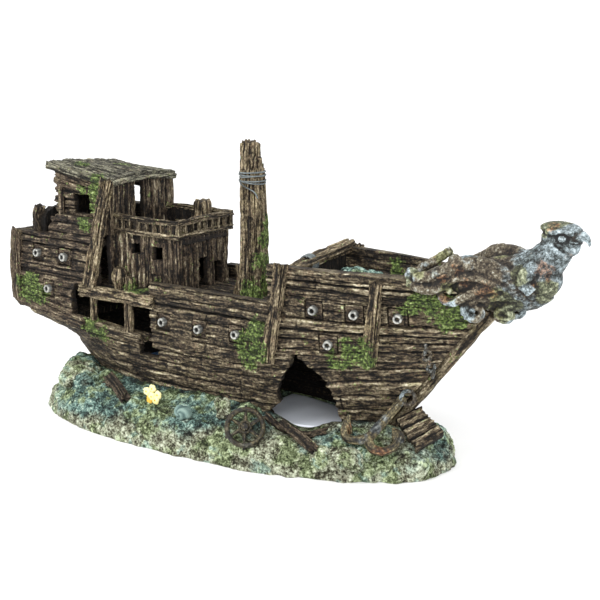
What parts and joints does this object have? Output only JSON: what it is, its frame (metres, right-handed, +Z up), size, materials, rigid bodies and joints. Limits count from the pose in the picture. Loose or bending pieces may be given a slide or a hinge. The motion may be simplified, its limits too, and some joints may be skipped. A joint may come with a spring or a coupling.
{
  "type": "bubbling aquarium shipwreck ornament",
  "caption": "Wrecked galleon on a rocky ring base, with open decks, a breached hull to swim through and an air stone inside that sends up bubbles.",
  "frame": {"origin": "centre of the bounding box at the underside of the seabed base, which stands on the tank floor", "axes": "+X towards the bow and figurehead, +Y to port, +Z up"},
  "size_m": [0.2958, 0.108, 0.1356],
  "materials": {
    "resin_wood": "matte painted resin, planks dry-brushed tan over dark grain",
    "resin_dark_wood": "matte painted resin, dark weathered planks",
    "resin_weathered_wood": "matte painted resin, bleached timber grain",
    "resin_rock": "matte painted resin, rough teal and grey rock with cream highlights",
    "resin_coral": "matte painted resin, granular cream coral",
    "resin_yellow": "matte painted resin, pale yellow",
    "resin_gun_grey": "matte painted resin, pale grey muzzles on dark plates",
    "resin_patina": "matte painted resin, mottled blue-grey with rust and olive",
    "resin_rust": "matte painted resin, rust, olive and blue-grey",
    "resin_rope": "matte painted resin, grey-blue rope",
    "clear_plastic": "satin rigid airline plastic",
    "air_stone_grit": "rough sintered blue grit"
  },
  "bodies": {
    "root": {"hull_starboard_aft": "resin_wood", "hull_starboard_fore": "resin_wood", "hull_port": "resin_wood", "stem_post": "resin_wood", "stern_post": "resin_wood", "waist_side_starboard": "resin_wood", "bow_side_starboard": "resin_wood", "castle_side_starboard": "resin_wood", "waist_side_port": "resin_wood", "bow_side_port": "resin_wood", "castle_side_port": "resin_wood", "transom": "resin_wood", "poop_cabin": "resin_wood", "mid_cabin": "resin_wood", "main_deck": "resin_dark_wood", "fore_deck": "resin_dark_wood", "poop_deck": "resin_dark_wood", "fore_bulkhead": "resin_dark_wood", "counter": "resin_dark_wood", "poop_roof": "resin_dark_wood", "stern_timber": "resin_dark_wood", "breach_timber": "resin_dark_wood", "mid_rib_starboard": "resin_weathered_wood", "bow_rib_starboard": "resin_weathered_wood", "mid_rib_port": "resin_weathered_wood", "bow_rib_port": "resin_weathered_wood", "corner_post": "resin_weathered_wood", "balustrade": "resin_weathered_wood", "roof_bollard": "resin_weathered_wood", "deck_bollard": "resin_weathered_wood", "gallery_sill": "resin_weathered_wood", "deck_ledge": "resin_weathered_wood", "gallery_post_aft": "resin_weathered_wood", "gallery_post_fore": "resin_weathered_wood", "mast": "resin_weathered_wood", "cross_beam": "resin_weathered_wood", "bow_boards": "resin_weathered_wood", "seabed": "resin_rock", "stern_rock": "resin_coral", "wheel_coral": "resin_coral", "bow_coral": "resin_coral", "whelk_shell": "resin_coral", "anemone": "resin_yellow", "castle_guns_starboard": "resin_gun_grey", "waist_guns_starboard": "resin_gun_grey", "bow_guns_starboard": "resin_gun_grey", "castle_guns_port": "resin_gun_grey", "waist_guns_port": "resin_gun_grey", "bow_guns_port": "resin_gun_grey", "figurehead": "resin_patina", "hawse_chain": "resin_patina", "ship_wheel": "resin_rust", "anchor": "resin_rust", "anchor_ring": "resin_rust", "mast_lashing": "resin_rope", "beam_lashing": "resin_rope", "air_tube": "clear_plastic", "air_nipple": "clear_plastic", "air_stone": "air_stone_grit"}
  },
  "joints": []
}
